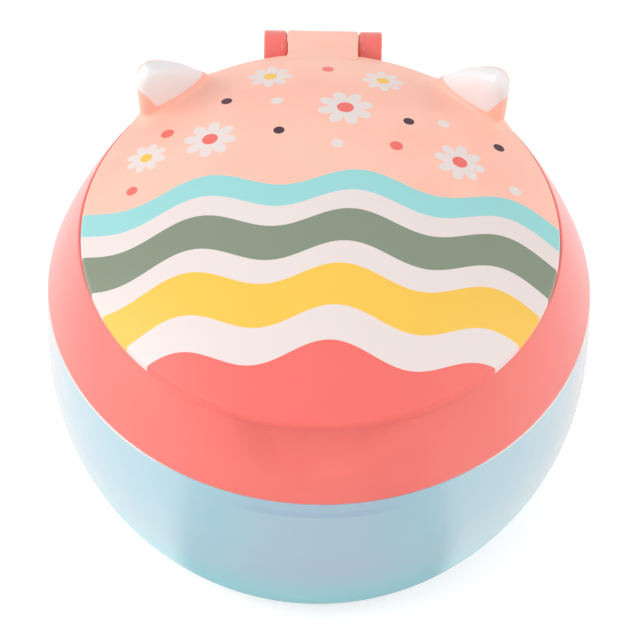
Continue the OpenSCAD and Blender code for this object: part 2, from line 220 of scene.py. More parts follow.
def round_edges(bm: BMesh, width: float, sharp: float = 50.0) -> None:
    """Rounds the sharp edges of a mesh.

    Args:
        bm: The mesh.
        width: Width of the rounding on each face.
        sharp: Least angle between two faces that counts as sharp, in degrees.
    """
    bmesh.ops.recalc_face_normals(bm, faces=bm.faces)
    edges = [e for e in bm.edges if e.is_manifold and e.calc_face_angle(0) > math.radians(sharp)]
    bmesh.ops.bevel(bm, geom=edges, offset=width, offset_type="OFFSET", segments=3,
                    profile=0.5, affect="EDGES", material=-1, clamp_overlap=True)


def screw_ridge(bm: BMesh, root_r: float, crest_r: float, low: float, start: float,
                sweep: float, lead: float) -> None:
    """Adds one start of a screw thread as a ridge that fades into its wall at both ends.

    Args:
        bm: Mesh to add to.
        root_r: Radius where the ridge stands on its wall.
        crest_r: Radius of its crest.
        low: Height of its middle at its start.
        start: Angle where it starts, in degrees.
        sweep: Angle that it goes round, in degrees.
        lead: Rise in one full turn.
    """
    steps, fade, width, slack = int(sweep / 2), 14.0, 1.5, 5.0
    sink = math.copysign(0.3, crest_r - root_r)
    ridge = [(root_r - sink, -width / 2), (crest_r, -width / 5), (crest_r, width / 5),
             (root_r - sink, width / 2)]
    edges = loop_of(bm, [Vector((r, 0, low + z)) for r, z in ridge])
    old = set(bm.verts) - {v for e in edges for v in e.verts}
    first = list({v for e in edges for v in e.verts})
    bmesh.ops.rotate(bm, verts=first, cent=(0, 0, 0), matrix=Matrix.Rotation(math.radians(start), 3, "Z"))
    bmesh.ops.spin(bm, geom=first + edges, cent=(0, 0, 0), axis=(0, 0, 1), angle=math.radians(sweep),
                   dvec=(0, 0, lead * sweep / 360 / steps), steps=steps, use_merge=False)
    for vert in set(bm.verts) - old:
        turned = math.degrees(math.atan2(vert.co.y, vert.co.x)) - start
        turned = (turned + slack) % 360 - slack
        left = 1 - ease(min(turned, sweep - turned), 0, fade)
        radius = math.hypot(vert.co.x, vert.co.y)
        shift = (root_r - sink - radius) * left / radius
        vert.co.x += vert.co.x * shift
        vert.co.y += vert.co.y * shift
    bmesh.ops.holes_fill(bm, edges=[e for e in bm.edges if e.is_boundary], sides=0)


def set_radius(vert: bmesh.types.BMVert, radius: float) -> None:
    """Moves a vertex straight in or out.

    Args:
        vert: The vertex.
        radius: Its new distance from the upright axis.
    """
    scale = radius / math.hypot(vert.co.x, vert.co.y)
    vert.co.x *= scale
    vert.co.y *= scale


def piece(bm: BMesh, name: str, body: Body,
          materials: Sequence[bpy.types.Material], replaces: Sequence[str] = (),
          ride: bool = True) -> bpy.types.Object:
    """Turns a mesh in millimetres into a finished piece of the container.

    Args:
        bm: The mesh, which is freed.
        name: Name of the piece.
        body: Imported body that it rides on.
        materials: Its materials, by face index.
        replaces: CAD nodes that it stands for.
        ride: Whether it rides on its body straight away.

    Returns:
        The new object, at the origin.
    """
    bmesh.ops.remove_doubles(bm, verts=bm.verts, dist=MERGE)
    bmesh.ops.recalc_face_normals(bm, faces=bm.faces)
    bmesh.ops.scale(bm, vec=(MM, MM, MM), verts=bm.verts)
    mesh = bpy.data.meshes.new(name)
    bm.to_mesh(mesh)
    bm.free()
    mesh.shade_smooth()
    mesh.set_sharp_from_angle(angle=math.radians(55))
    for material in materials:
        mesh.materials.append(material)
    made = bpy.data.objects.new(name, mesh)
    bpy.context.scene.collection.objects.link(made)
    weighted = made.modifiers.new("even_normals", "WEIGHTED_NORMAL")
    weighted.keep_sharp = True
    if ride:
        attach(made, body.value)
    if replaces:
        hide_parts(*replaces)
    log.info("%s: %d faces on %s", name, len(mesh.polygons), body.value)
    return made


# ---------------------------------------------------------------- shaders


def srgb(red: int, green: int, blue: int) -> Colour:
    """A colour as a screen shows it, in linear light.

    Args:
        red: Its red, from 0 to 255.
        green: Its green, from 0 to 255.
        blue: Its blue, from 0 to 255.

    Returns:
        The colour, with full cover.
    """
    def linear(value: int) -> float:
        """One channel in linear light."""
        share = value / 255
        return share / 12.92 if share <= 0.04045 else ((share + 0.055) / 1.055) ** 2.4

    return (linear(red), linear(green), linear(blue), 1.0)


class Graph:
    """Adds and joins the nodes of one shader tree."""

    def __init__(self, tree: bpy.types.NodeTree) -> None:
        """Starts on an emptied tree."""
        self.tree = tree
        tree.nodes.clear()

    def add(self, kind: str, feeds: dict | None = None, **settings: object) -> bpy.types.Node:
        """Adds a node.

        Args:
            kind: The node's type.
            feeds: Value or source socket for each named or numbered input.
            settings: Properties of the node.

        Returns:
            The node.
        """
        node = self.tree.nodes.new(kind)
        for key, value in settings.items():
            setattr(node, key, value)
        for key, value in (feeds or {}).items():
            socket = node.inputs[key]
            if isinstance(value, Socket):
                self.tree.links.new(value, socket)
            else:
                socket.default_value = value
        return node

    def math(self, operation: str, *values: object) -> Socket:
        """The result of a Math node."""
        return self.add("ShaderNodeMath", dict(enumerate(values)), operation=operation).outputs[0]

    def product(self, *values: object) -> Socket:
        """All the values multiplied together."""
        return reduce(lambda one, two: self.math("MULTIPLY", one, two), values)

    def step(self, value: object, low: float, high: float) -> Socket:
        """A mask that goes smoothly from 0 to 1 as value goes from low to high."""
        feeds = {0: value, 1: low, 2: high, 3: 0.0, 4: 1.0}
        return self.add("ShaderNodeMapRange", feeds, interpolation_type="SMOOTHSTEP").outputs[0]

    def mix(self, mask: object, under: object, over: object) -> Socket:
        """One colour over another by a mask."""
        return self.add("ShaderNodeMix", {0: mask, 6: under, 7: over}, data_type="RGBA").outputs[2]

    def group(self, tree: bpy.types.NodeTree, **feeds: object) -> bpy.types.Node:
        """A node group placed in this tree, with its inputs by name."""
        named = {key.replace("_", " "): value for key, value in feeds.items()}
        return self.add("ShaderNodeGroup", named, node_tree=tree)

    def axes(self, place: Socket) -> tuple[Socket, ...]:
        """How far a place is across, back and up."""
        return tuple(self.add("ShaderNodeSeparateXYZ", {0: place}).outputs)

    def position(self) -> Socket:
        """The place on the piece in millimetres."""
        coords = self.add("ShaderNodeTexCoord").outputs["Object"]
        return self.add("ShaderNodeVectorMath", {0: coords, 3: 1 / MM}, operation="SCALE").outputs[0]


def shader_group(name: str, numbers: Sequence[str], outputs: Sequence[str],
                 fill: Callable[[Graph, dict], dict],
                 places: Sequence[str] = ()) -> bpy.types.NodeTree:
    """Makes a shader node group with named sockets.

    Args:
        name: Name of the group.
        numbers: Names of its inputs that are numbers.
        outputs: Names of its outputs, which are all numbers.
        fill: Adds the nodes, and returns the source of each output.
        places: Names of its inputs that are places.

    Returns:
        The group.
    """
    tree = bpy.data.node_groups.new(name, "ShaderNodeTree")
    for label in places:
        tree.interface.new_socket(label, in_out="INPUT", socket_type="NodeSocketVector")
    for label in numbers:
        tree.interface.new_socket(label, in_out="INPUT", socket_type="NodeSocketFloat")
    for label in outputs:
        tree.interface.new_socket(label, in_out="OUTPUT", socket_type="NodeSocketFloat")
    graph = Graph(tree)
    entry = graph.add("NodeGroupInput")
    made = fill(graph, {label: entry.outputs[label] for label in (*places, *numbers)})
    graph.add("NodeGroupOutput", made)
    return tree


def fill_skin(graph: Graph, entry: dict) -> dict:
    """Fills the group for moulded skin: soft flow marks, a fine grain and a few hairline scuffs.

    Args:
        graph: The group's graph.
        entry: The group's inputs by name.

    Returns:
        The sources of its outputs.
    """
    flow_scale, flow_height = 0.06, 0.6
    scuff_turn, scuff_stretch, scuff_low, scuff_high = (0.3, 0.1, 0.7), (0.12, 2.6, 0.5), 0.68, 0.74
    flow, grain = (
        graph.add("ShaderNodeTexNoise", {"Vector": entry["Place"], "Scale": scale, "Detail": detail})
        for scale, detail in ((flow_scale, 3.0), (entry["Grain"], 2.0)))
    long_way = graph.add("ShaderNodeMapping", {"Vector": entry["Place"], "Rotation": scuff_turn,
                                               "Scale": scuff_stretch})
    scuff = graph.add("ShaderNodeTexNoise", {"Vector": long_way.outputs[0], "Scale": 1.0, "Detail": 2.0})
    return {"Height": graph.math("MULTIPLY_ADD", flow.outputs[0], flow_height, grain.outputs[0]),
            "Flow": flow.outputs[0], "Scuffs": graph.step(scuff.outputs[0], scuff_low, scuff_high)}


def fill_wave(graph: Graph, entry: dict) -> dict:
    """Fills the group that masks all in front of a wavy line from side to side.

    Args:
        graph: The group's graph.
        entry: The group's inputs by name.

    Returns:
        The sources of its outputs.
    """
    soft = 0.07
    turn = graph.math("MULTIPLY_ADD", entry["Across"], entry["Waves"], entry["Start"])
    line = graph.math("MULTIPLY_ADD", graph.math("SINE", turn), entry["Swing"], entry["Line"])
    return {"Mask": graph.step(graph.math("SUBTRACT", line, entry["Back"]), -soft, soft)}


def from_centre(graph: Graph, entry: dict) -> tuple[Socket, ...]:
    """Measures from the centre of a printed mark.

    Args:
        graph: The group's graph.
        entry: The group's inputs by name.

    Returns:
        How far the place is across and back from the centre, and its distance.
    """
    across = graph.math("SUBTRACT", entry["Across"], entry["Centre across"])
    back = graph.math("SUBTRACT", entry["Back"], entry["Centre back"])
    squares = graph.math("MULTIPLY_ADD", across, across, graph.math("MULTIPLY", back, back))
    return across, back, graph.math("SQRT", squares)


def fill_daisy(graph: Graph, entry: dict) -> dict:
    """Fills the group for a simple flower: round-ended petals about a round heart.

    Args:
        graph: The group's graph.
        entry: The group's inputs by name.

    Returns:
        The sources of its outputs.
    """
    roundness, gap_r, heart_r, soft = 0.55, 0.42, 0.3, 0.012
    across, back, away = from_centre(graph, entry)
    share = graph.math("DIVIDE", away, entry["Size"])
    angle = graph.math("ADD", graph.math("ARCTAN2", back, across), entry["Turn"])
    lobe = graph.math("ABSOLUTE", graph.math("COSINE", graph.product(angle, entry["Half petals"])))
    edge = graph.math("MULTIPLY_ADD", graph.math("POWER", lobe, roundness), 1 - gap_r, gap_r)
    return {"Petals": graph.step(graph.math("SUBTRACT", edge, share), -soft, soft),
            "Heart": graph.step(graph.math("SUBTRACT", heart_r, share), -soft, soft)}


def fill_dot(graph: Graph, entry: dict) -> dict:
    """Fills the group for a round dot.

    Args:
        graph: The group's graph.
        entry: The group's inputs by name.

    Returns:
        The sources of its outputs.
    """
    soft, away = 0.06, from_centre(graph, entry)[2]
    return {"Mask": graph.step(graph.math("SUBTRACT", entry["Size"], away), -soft, soft)}


class Effects:
    """The shader groups that more than one finish uses."""

    def __init__(self) -> None:
        """Builds each group once."""
        place = ("Across", "Back")
        mark = (*place, "Centre across", "Centre back", "Size")
        self.skin = shader_group("moulded_skin", ("Grain",), ("Height", "Flow", "Scuffs"), fill_skin,
                                 ("Place",))
        self.wave = shader_group("wavy_line", (*place, "Line", "Swing", "Waves", "Start"), ("Mask",),
                                 fill_wave)
        self.daisy = shader_group("daisy", (*mark, "Turn", "Half petals"), ("Petals", "Heart"), fill_daisy)
        self.dot = shader_group("dot", mark, ("Mask",), fill_dot)


def new_material(name: str) -> tuple[bpy.types.Material, Graph]:
    """Makes an empty node material.

    Args:
        name: Name of the material.

    Returns:
        The material and the graph of its nodes.
    """
    material = bpy.data.materials.new(name)
    material.use_nodes = True
    return material, Graph(material.node_tree)


@dataclass(frozen=True)
class Plastic:
    """A moulded plastic or rubber, with flow marks, grain and faint scuffs."""

    name: str
    colour: Colour
    deep: Colour
    rough: float
    grain: float = 2.2
    bump: float = 0.05
    scuffs: float = 0.05
    coat: float = 0.0
    coat_rough: float = 0.2
    sheen: float = 0.0
    subsurface: float = 0.0
    subsurface_reach: tuple[float, float, float] = (0.003, 0.0015, 0.001)
    see_through: float = 0.0
    bend_of_light: float = 1.46
    flow_range: Point = (0.35, 0.7)
    flow_rough: float = 0.05
    bump_depth: float = 0.0001

    def material(self, effects: Effects) -> bpy.types.Material:
        """Builds the material.

        Args:
            effects: The shared shader groups.

        Returns:
            The material.
        """
        material, graph = new_material(self.name)
        place = graph.position()
        skin = graph.group(effects.skin, Place=place, Grain=self.grain)
        colour = graph.mix(graph.step(skin.outputs["Flow"], *self.flow_range), self.colour, self.deep)
        colour = self.tint(graph, effects, place, colour)
        self.shade(graph, skin, colour, self.gloss(graph, place))
        return material

    def tint(self, graph: Graph, effects: Effects, place: Socket,
             colour: Socket) -> Socket:
        """The colour as it differs from place to place, which here it doesn't."""
        return colour

    def gloss(self, graph: Graph, place: Socket) -> object:
        """The weight of the clear skin over the colour."""
        return self.coat

    def shade(self, graph: Graph, skin: bpy.types.Node, colour: Socket,
              gloss: object) -> None:
        """Joins the colour and the skin to the surface shader.

        Args:
            graph: The material's graph.
            skin: The placed group of the moulded skin.
            colour: The colour over the surface.
            gloss: The weight of the clear skin, as a number or over the surface.
        """
        rough = graph.math("MULTIPLY_ADD", skin.outputs["Scuffs"], self.scuffs, self.rough)
        rough = graph.math("MULTIPLY_ADD", skin.outputs["Flow"], self.flow_rough, rough)
        bump = graph.add("ShaderNodeBump", {"Height": skin.outputs["Height"], "Strength": self.bump,
                                            "Distance": self.bump_depth})
        shader = graph.add("ShaderNodeBsdfPrincipled", {
            "Base Color": colour, "Roughness": rough, "Normal": bump.outputs[0], "Coat Weight": gloss,
            "Coat Roughness": self.coat_rough, "Sheen Weight": self.sheen, "Sheen Roughness": 0.4,
            "Subsurface Weight": self.subsurface, "Subsurface Radius": self.subsurface_reach,
            "Subsurface Scale": 1.0, "Transmission Weight": self.see_through,
            "IOR": self.bend_of_light})
        graph.add("ShaderNodeOutputMaterial", {"Surface": shader.outputs[0]})


@dataclass(frozen=True)
class BowlPlastic(Plastic):
    """The bowl's see-through plastic, with painted light: a glow painted towards its foot where light
    gathers, painted shade down its middle, a painted shadow line below the shoulder and a painted highlight
    on its upper edge at the sides.

    Heights are those where a tone starts or ends, and the front's are distances to either side.
    """

    foot_glow_colour: Colour = srgb(140, 240, 255)
    foot_low: float = 13.0
    foot_high: float = 36.0
    gloss_high: float = 41.0
    middle_shade_colour: Colour = srgb(184, 220, 237)
    front_narrow: float = 8.0
    front_wide: float = 21.0
    neck_shadow_colour: Colour = srgb(150, 190, 224)
    neck_low: float = 52.2
    neck_line: float = 0.6
    neck_band: float = 1.4
    neck_high: float = 2.6
    neck_depth: float = 0.4
    neck_return: float = 0.25
    edge_highlight_colour: Colour = srgb(255, 250, 242)
    edge_low: float = 56.0
    edge_line: float = 0.2
    edge_narrow: float = 26.4
    edge_wide: float = 38.4

    def tint(self, graph: Graph, effects: Effects, place: Socket,
             colour: Socket) -> Socket:
        """Adds the painted light and shade: a painted glow towards the foot, painted shade that greys the
        middle of the front, a painted shadow line below the shoulder and a painted highlight along the
        upper edge.

        Args:
            graph: The material's graph.
            effects: The shared shader groups, not used here.
            place: The place on the bowl in millimetres.
            colour: The plastic's own colour.

        Returns:
            The colour over the bowl.
        """
        across, _, up = graph.axes(place)
        across = graph.math("ABSOLUTE", across)
        # painted shade: the middle of the wall is greyer, standing in for the shaded inside seen through it
        side = graph.step(across, self.front_narrow, self.front_wide)
        colour = graph.mix(side, self.middle_shade_colour, colour)
        # painted glow: deeper aqua towards the foot, standing in for light gathering in the thick foot
        colour = graph.mix(graph.step(up, self.foot_high, self.foot_low), colour, self.foot_glow_colour)
        # painted shadow: a darker line just below the shoulder, in the middle only, for the shade under the
        # collar seen through the wall
        low = self.neck_low
        starts = graph.step(up, low, low + self.neck_line)
        ends = graph.step(up, low + self.neck_band, low + self.neck_high)
        line = graph.math("SUBTRACT", graph.product(starts, self.neck_depth),
                          graph.product(ends, self.neck_return))
        line = graph.product(line, graph.math("SUBTRACT", 1.0, side))
        colour = graph.mix(line, colour, self.neck_shadow_colour)
        # painted highlight: a pale line along the top edge, at the sides only
        edge = graph.product(graph.step(up, self.edge_low, self.edge_low + self.edge_line),
                             graph.step(across, self.edge_narrow, self.edge_wide))
        return graph.mix(edge, colour, self.edge_highlight_colour)

    def gloss(self, graph: Graph, place: Socket) -> Socket:
        """The clear skin's weight, which fades out towards the foot."""
        return graph.product(graph.step(graph.axes(place)[2], self.foot_low, self.gloss_high), self.coat)


@dataclass(frozen=True)
class Steel:
    """Drawn steel wire, brushed along its length."""

    name: str = "pin_steel"
    colour: Colour = srgb(196, 198, 202)
    shade: Colour = srgb(150, 152, 158)
    stretch: tuple[float, float, float] = (0.15, 6.0, 6.0)
    rough: float = 0.2

    def material(self) -> bpy.types.Material:
        """Builds the material.

        Returns:
            The material.
        """
        material, graph = new_material(self.name)
        stretched = graph.add("ShaderNodeMapping", {"Vector": graph.position(), "Scale": self.stretch})
        lines = graph.add("ShaderNodeTexNoise", {"Vector": stretched.outputs[0], "Scale": 1.5,
                                                 "Detail": 4.0})
        bump = graph.add("ShaderNodeBump", {"Height": lines.outputs[0], "Strength": 0.15,
                                            "Distance": 0.0001})
        shader = graph.add("ShaderNodeBsdfPrincipled", {
            "Base Color": graph.mix(lines.outputs[0], self.shade, self.colour), "Metallic": 1.0,
            "Roughness": graph.math("MULTIPLY_ADD", lines.outputs[0], self.rough, self.rough),
            "Normal": bump.outputs[0]})
        graph.add("ShaderNodeOutputMaterial", {"Surface": shader.outputs[0]})
        return material


class Ink(Enum):
    """Colours of the lid's print, in linear light."""

    WHITE = srgb(230, 218, 215)
    TEAL = srgb(152, 212, 212)
    SAGE = srgb(131, 143, 124)
    MUSTARD = srgb(244, 196, 78)
    CORAL = srgb(240, 112, 104)
    PLUM = srgb(72, 38, 55)


@dataclass(frozen=True)
class Band:
    """One colour of the print's waves, from a wavy line forwards."""

    ink: Ink
    line: float
    start: float


@dataclass(frozen=True)
class Flower:
    """One daisy of the print."""

    across: float
    back: float
    size: float
    turn: float
    heart: Ink = Ink.CORAL


@dataclass(frozen=True)
class Spot:
    """One dot of the print."""

    across: float
    back: float
    size: float
    ink: Ink


@dataclass(frozen=True)
class Print:
    """The lid's print: wavy bands over its front half, daisies and dots behind them."""

    bands: tuple[Band, ...] = (
        Band(Ink.TEAL, 1.0, 0.0), Band(Ink.WHITE, -4.2, 0.15), Band(Ink.SAGE, -8.8, 0.3),
        Band(Ink.WHITE, -16.2, 0.5), Band(Ink.MUSTARD, -21.0, 0.7), Band(Ink.WHITE, -29.4, 0.9),
        Band(Ink.CORAL, -36.0, 1.1))
    waves: float = 0.21
    swing: float = 2.1
    flowers: tuple[Flower, ...] = (
        Flower(-22.0, 13.5, 5.2, 0.2), Flower(4.5, 21.5, 5.6, 0.5), Flower(27.0, 9.5, 5.0, 0.9),
        Flower(-10.5, 33.8, 4.5, 0.1, Ink.MUSTARD), Flower(12.0, 33.0, 4.2, 0.7, Ink.MUSTARD),
        Flower(-34.5, 12.0, 4.0, 0.4, Ink.MUSTARD))
    spots: tuple[Spot, ...] = (
        Spot(-8.5, 14.0, 1.1, Ink.PLUM), Spot(14.5, 10.8, 1.3, Ink.CORAL),
        Spot(17.0, 19.0, 1.1, Ink.PLUM), Spot(-30.5, 18.0, 1.3, Ink.CORAL),
        Spot(-9.0, 23.8, 1.2, Ink.WHITE), Spot(35.0, 17.5, 1.1, Ink.PLUM),
        Spot(1.0, 36.5, 1.2, Ink.CORAL), Spot(-19.0, 25.5, 1.1, Ink.PLUM),
        Spot(24.0, 20.5, 1.2, Ink.WHITE), Spot(-37.0, 3.6, 1.1, Ink.CORAL),
        Spot(38.0, 6.0, 1.2, Ink.WHITE), Spot(3.0, 10.0, 1.2, Ink.WHITE))
    petals: int = 8

    def lay(self, graph: Graph, effects: Effects, place: Socket,
            colour: Socket) -> Socket:
        """Lays the print over a ground colour, seen from above.

        Args:
            graph: The material's graph.
            effects: The shared shader groups.
            place: The place on the lid in millimetres.
            colour: Colour of the bare lid.

        Returns:
            The printed colour.
        """
        across, back, _ = graph.axes(place)
        spot = {"Across": across, "Back": back}
        for band in self.bands:
            wave = graph.group(effects.wave, **spot, Line=band.line, Swing=self.swing,
                               Waves=self.waves, Start=band.start)
            colour = graph.mix(wave.outputs[0], colour, band.ink.value)
        for f in self.flowers:
            daisy = graph.group(effects.daisy, **spot, Centre_across=f.across, Centre_back=f.back,
                                Size=f.size, Turn=f.turn, Half_petals=self.petals / 2)
            colour = graph.mix(daisy.outputs["Petals"], colour, Ink.WHITE.value)
            colour = graph.mix(daisy.outputs["Heart"], colour, f.heart.value)
        for s in self.spots:
            dot = graph.group(effects.dot, **spot, Centre_across=s.across, Centre_back=s.back,
                              Size=s.size)
            colour = graph.mix(dot.outputs[0], colour, s.ink.value)
        return colour


@dataclass(frozen=True)
class PrintedPlastic(Plastic):
    """The lid's plastic with its print."""

    design: Print = Print()

    def tint(self, graph: Graph, effects: Effects, place: Socket,
             colour: Socket) -> Socket:
        """The lid's colour with the print laid over it."""
        return self.design.lay(graph, effects, place, colour)


@dataclass(frozen=True)
class EarPlastic(Plastic):
    """The lid's plastic with the white that is printed on the front of an ear.

    The white's bounds are measured along the ear, outwards from it and upwards.
    """

    white: Colour = srgb(232, 230, 231)
    angle: float = math.radians(48.0)
    low: float = 80.7
    low_soft: float = 0.9
    outer: float = -7.6
    outer_soft: float = 0.3
    slant: float = 0.55
    front: float = 36.9
    front_soft: float = 0.5
    behind: float = 43.6
    behind_soft: float = 0.25

    def tint(self, graph: Graph, effects: Effects, place: Socket,
             colour: Socket) -> Socket:
        """Lays the white over the front of the ear.

        Args:
            graph: The material's graph.
            effects: The shared shader groups, not used here.
            place: The place on the ear in millimetres.
            colour: The plastic's own colour.

        Returns:
            The colour over the ear.
        """
        across, back, up = graph.axes(place)
        across = graph.math("ABSOLUTE", across)
        c, s = math.cos(self.angle), math.sin(self.angle)
        along = graph.math("SUBTRACT", graph.product(back, c), graph.product(across, s))
        out = graph.math("ADD", graph.product(across, c), graph.product(back, s))
        rise = graph.product(graph.math("SUBTRACT", up, self.low), self.slant)
        mask = graph.product(
            graph.step(up, self.low, self.low + self.low_soft),
            graph.step(graph.math("ADD", along, rise), self.outer, self.outer + self.outer_soft),
            graph.step(out, self.behind + self.behind_soft, self.behind - self.behind_soft),
            graph.step(out, self.front, self.front + self.front_soft))
        return graph.mix(mask, colour, self.white)


class Finishes:
    """The materials of the container."""

    def __init__(self) -> None:
        """Builds every material once."""
        effects = Effects()
        peach, deep_peach = srgb(255, 196, 177), srgb(254, 189, 170)
        self.bowl = BowlPlastic("bowl_plastic", srgb(177, 225, 239), srgb(171, 222, 237), rough=0.22,
                                grain=1.4, bump=0.02, scuffs=0.0, see_through=0.2, coat=1.0,
                                coat_rough=0.06, sheen=0.2, subsurface=0.3).material(effects)
        self.collar = Plastic("collar_plastic", srgb(238, 111, 103), srgb(235, 106, 98), rough=0.34,
                              coat=0.9, coat_rough=0.28, sheen=0.4, subsurface=0.08).material(effects)
        lid = {"colour": peach, "deep": deep_peach, "rough": 0.34, "subsurface": 0.08}
        self.lid = Plastic("lid_plastic", **lid).material(effects)
        self.printed_lid = PrintedPlastic("lid_printed_plastic", **lid).material(effects)
        self.ear = EarPlastic("ear_printed_plastic", **lid).material(effects)
        self.flaps = Plastic("flap_rubber", srgb(248, 140, 130), srgb(244, 131, 122), rough=0.52,
                             grain=3.0, bump=0.16, scuffs=0.03, sheen=0.15,
                             subsurface=0.15).material(effects)
        self.seal = Plastic("seal_silicone", srgb(236, 232, 228), srgb(228, 223, 220), rough=0.45,
                            grain=3.0, bump=0.1, scuffs=0.02, subsurface=0.2).material(effects)
        self.pin = Steel().material()


# ---------------------------------------------------------------- the bowl


@dataclass
class Bowl:
    """The ball-shaped bowl with its screw neck, and the soft ring on top of the neck."""

    finishes: Finishes
    soft: float = 0.5
    shoulder_soft: float = 0.35
    foot_soft: float = 0.8
    neck_foot_soft: float = 0.6
    neck_bend: float = 2.5
    floor_round: float = 1.5
    belly_r: float = 54.5
    belly_z: float = 42.0
    height: float = 56.5
    shoulder_r: float = 54.0
    side_curve_r: float = 59.6
    foot_round_r: float = 8.0
    wall: float = 1.9
    foot_recess: float = 1.0
    foot_ring_w: float = 4.5
    side_from: float = 0.97
    neck_r: float = 44.0
    neck_out_r: float = 45.5
    neck_top: float = 65.0
    thread_crest_r: float = 46.25
    thread_low: float = 58.9
    thread_sweep: float = 200.0
    lead: float = 8.0
    seal_t: float = 1.3
    seal_in_r: float = 43.9
    seal_out_r: float = 46.3

    def side(self, inset: float) -> list[Point]:
        """The side from the foot to the shoulder.

        Args:
            inset: How far it is set in from the outer surface.

        Returns:
            Its points, upwards.
        """
        low_x = self.belly_r - self.side_curve_r
        reach = self.side_curve_r - self.foot_round_r
        foot_x = low_x + math.sqrt(reach**2 - (self.belly_z - self.foot_round_r) ** 2)
        meet = math.degrees(math.atan2(self.foot_round_r - self.belly_z, foot_x - low_x))
        top_dr, top_dz = self.belly_r - self.shoulder_r, self.height - self.belly_z
        high_r = (top_dr**2 + top_dz**2) / (2 * top_dr)
        top = math.degrees(math.asin((top_dz - inset) / high_r))
        return (arc((foot_x, self.foot_round_r), self.foot_round_r - inset, -90, meet, 10)
                + arc((low_x, self.belly_z), self.side_curve_r - inset, meet * self.side_from, 0, 30)
                + arc((self.belly_r - high_r, self.belly_z), high_r - inset, top / 8, top, 7))

    def build(self) -> None:
        """Makes the bowl and the soft ring."""
        outer, floor_z = self.side(0), self.foot_recess + self.wall
        inner = [p for p in self.side(self.wall) if p[1] > floor_z + 0.05]
        ring_in = outer[0][0] - self.foot_ring_w
        outline = (
            [(0, self.foot_recess),
             (ring_in - self.foot_soft, self.foot_recess, self.foot_soft),
             (ring_in, 0, self.soft)]
            + outer[:-1]
            + [(self.shoulder_r, self.height, self.shoulder_soft),
               (self.neck_out_r, self.height, self.neck_foot_soft),
               (self.neck_out_r, self.neck_top, self.soft),
               (self.neck_r, self.neck_top, self.soft),
               (self.neck_r, self.height, self.neck_bend)]
            + inner[::-1]
            + [(inner[0][0] - self.floor_round, floor_z, 1.0), (0, floor_z)])
        bm = bmesh.new()
        lathe(bm, rounded(outline), 192)
        for start in (0, 180):
            screw_ridge(bm, self.neck_out_r, self.thread_crest_r, self.thread_low, start, self.thread_sweep,
                        self.lead)
        piece(bm, "bowl_shell", Body.BOWL, [self.finishes.bowl], ["bowl"])

        bm = bmesh.new()
        low, high = self.neck_top, self.neck_top + self.seal_t
        ring = [(r, z, self.soft) for r, z in ((self.seal_in_r, low), (self.seal_out_r, low),
                                               (self.seal_out_r, high), (self.seal_in_r, high))]
        lathe(bm, rounded(ring, 5), 160)
        piece(bm, "neck_seal", Body.SEAL, [self.finishes.seal], ["bowl_seal"])


# ---------------------------------------------------------------- the collar


@dataclass
class Hinge:
    """Where the lid's hinge is, and the sizes that its two halves share."""

    across: float = 14.3
    barrel_r: float = 3.6
    gap: float = 0.35
    relief: float = 0.5
    lug_w: float = 4.5
    lug_sink: float = 0.6
    lug_low: float = 7.5
    lug_top: float = 0.9
    lug_in: float = 0.2
    boss_r: float = 3.2
    boss_gap: float = 0.1
    boss_sink: float = 1.0
    relief_past: float = 0.3

    def __post_init__(self) -> None:
        """Takes the hinge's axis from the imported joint."""
        joint = next(j for j in frame["joints"] if j["name"] == "lid_hinge")
        self.back, self.up = joint["pos_m"][1] / MM, joint["pos_m"][2] / MM
        self.lug_x = self.across / 2 + self.gap


